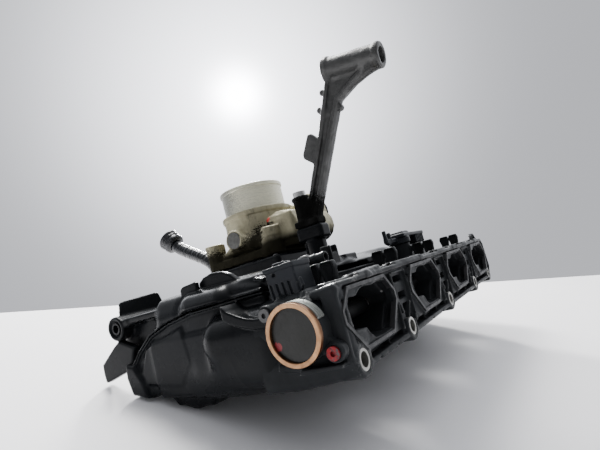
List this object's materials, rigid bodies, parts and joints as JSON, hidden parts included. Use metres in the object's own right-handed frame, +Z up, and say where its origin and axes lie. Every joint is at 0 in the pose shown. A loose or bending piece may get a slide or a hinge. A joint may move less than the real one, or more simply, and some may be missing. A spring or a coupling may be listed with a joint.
{
  "type": "intake manifold",
  "caption": "Intake manifold with ducts and port flaps on a head flange, a two-shell plenum, a motor-driven throttle body, a support arm and a breather pipe.",
  "frame": {"origin": "middle of the port row on the face that bolts to the cylinder head", "axes": "+X along the port row from the flap sensor end, -Y out of the head face, +Z up the throttle bore"},
  "size_m": [0.3485, 0.2705, 0.208],
  "materials": {
    "black_plastic": "satin moulded, worn on the edges",
    "flap_plastic": "matt moulded",
    "bush_plastic": "smooth",
    "seal_rubber": "matt",
    "blue_rubber": "satin",
    "steel": "zinc plated",
    "marked_steel": "zinc plated with paint marks",
    "dark_steel": "dull",
    "brass": "machined",
    "plate_brass": "machined",
    "copper_ring": "worn satin",
    "sealed_disc": "matt",
    "circuit_board": "satin",
    "gear_plastic": "smooth",
    "cast_aluminium": "rough cast, machined faces",
    "arm_aluminium": "dull cast",
    "pipe_plastic": "glossy"
  },
  "bodies": {
    "manifold": {"port_flange": "black_plastic", "port_seal_1": "seal_rubber", "port_seal_2": "seal_rubber", "port_seal_3": "seal_rubber", "port_seal_4": "seal_rubber", "compression_limiters": "steel", "lower_shell": "black_plastic", "upper_shell": "black_plastic", "end_boss_insert": "brass", "flap_bushings": "bush_plastic", "flap_sensor_housing": "black_plastic", "flap_sensor_board": "circuit_board", "flap_sensor_disc": "sealed_disc", "flap_sensor_ring": "copper_ring", "flap_sensor_screws": "marked_steel", "sensor_connector": "black_plastic", "sensor_pins": "brass", "vacuum_nipple": "black_plastic", "throttle_gasket": "seal_rubber", "throttle_inserts": "brass", "throttle_body": "cast_aluminium", "throttle_bolts": "steel", "shaft_bearings": "steel", "shaft_end_plug": "dark_steel", "return_spring": "steel", "idler_axle": "steel", "throttle_motor": "steel", "motor_end_cap": "cast_aluminium", "gear_cover": "black_plastic", "cover_screws": "steel", "throttle_pins": "brass", "support_arm": "arm_aluminium", "arm_bolt": "steel", "arm_insert": "brass", "map_sensor": "black_plastic", "map_sensor_pins": "brass", "map_sensor_screw": "steel", "breather_pipe": "pipe_plastic", "pipe_coupling": "pipe_plastic", "coupling_seal": "blue_rubber"},
    "throttle_rotor": {"throttle_shaft": "steel", "throttle_plate": "plate_brass", "plate_screws": "steel", "sector_gear": "gear_plastic"},
    "idler": {"idler_gear": "gear_plastic"},
    "pinion": {"motor_pinion": "brass"},
    "flap_rotor": {"flap_shaft": "steel", "flap_1": "flap_plastic", "flap_2": "flap_plastic", "flap_3": "flap_plastic", "flap_4": "flap_plastic", "flap_sensor_rotor": "flap_plastic"}
  },
  "joints": [
    {"name": "throttle_turn", "type": "hinge", "parent": "manifold", "child": "throttle_rotor", "pos_m": [0, 0.15, 0.0695], "axis": [1, 0, 0], "range_deg": [0, 85], "stiffness_Nm_per_rad": 0.25},
    {"name": "idler_turn", "type": "hinge", "parent": "manifold", "child": "idler", "pos_m": [0, 0.11897, 0.0824], "axis": [1, 0, 0], "range_deg": [-315, 0]},
    {"name": "pinion_turn", "type": "hinge", "parent": "manifold", "child": "pinion", "pos_m": [0, 0.112, 0.068], "axis": [1, 0, 0], "range_deg": [0, 730]},
    {"name": "flap_turn", "type": "hinge", "parent": "manifold", "child": "flap_rotor", "pos_m": [0, 0.0184, 0.0011], "axis": [-1, 0, 0], "range_deg": [0, 75], "stiffness_Nm_per_rad": 0.06}
  ],
  "couplings": [
    {"joint": "idler_turn", "follows": "throttle_turn", "ratio": -3.6667},
    {"joint": "pinion_turn", "follows": "throttle_turn", "ratio": 8.5556}
  ]
}
